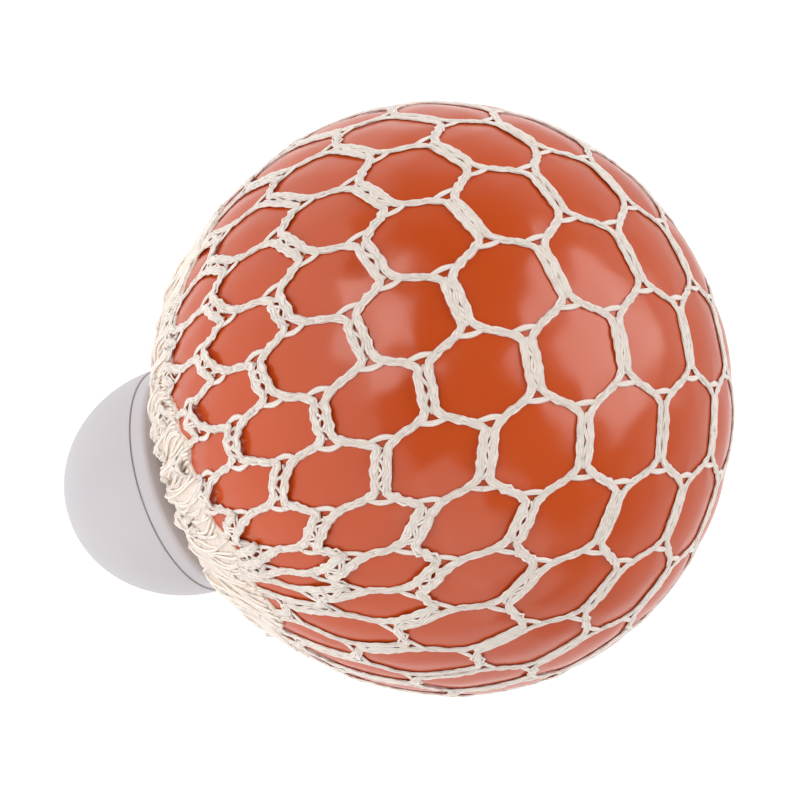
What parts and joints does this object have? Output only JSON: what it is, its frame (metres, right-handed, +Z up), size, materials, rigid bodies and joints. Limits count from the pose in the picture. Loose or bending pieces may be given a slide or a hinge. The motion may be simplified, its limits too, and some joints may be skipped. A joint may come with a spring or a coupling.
{
  "type": "stress ball",
  "caption": "Soft hollow squeeze ball in a knitted hexagonal net, gathered into a small domed cap that it can stand on.",
  "frame": {"origin": "middle of the small flat foot on the domed cap, at the bottom of the part", "axes": "+Z up from the cap through the middle of the ball; -Y towards the side of the net that was seen, where the lattice columns run down to the cap"},
  "size_m": [0.0604, 0.0604, 0.0704],
  "materials": {
    "cap_plastic": "satin",
    "plug_plastic": "satin",
    "soft_skin": "gloss",
    "gel": "satin",
    "net_yarn": "matte"
  },
  "bodies": {
    "base": {"dome_cap": "cap_plastic", "cap_collar": "cap_plastic", "neck_plug": "plug_plastic", "net_tie": "plug_plastic"},
    "ball": {"ball_skin": "soft_skin", "gel_filling": "gel", "mesh_net": "net_yarn"}
  },
  "joints": [
    {"name": "ball_press", "type": "slide", "parent": "base", "child": "ball", "axis": [0, 0, -1], "range_m": [0, 0.012], "stiffness_N_per_m": 1400, "springref_m": -0.0012, "deforming": ["ball_skin", "gel_filling", "mesh_net"]}
  ]
}
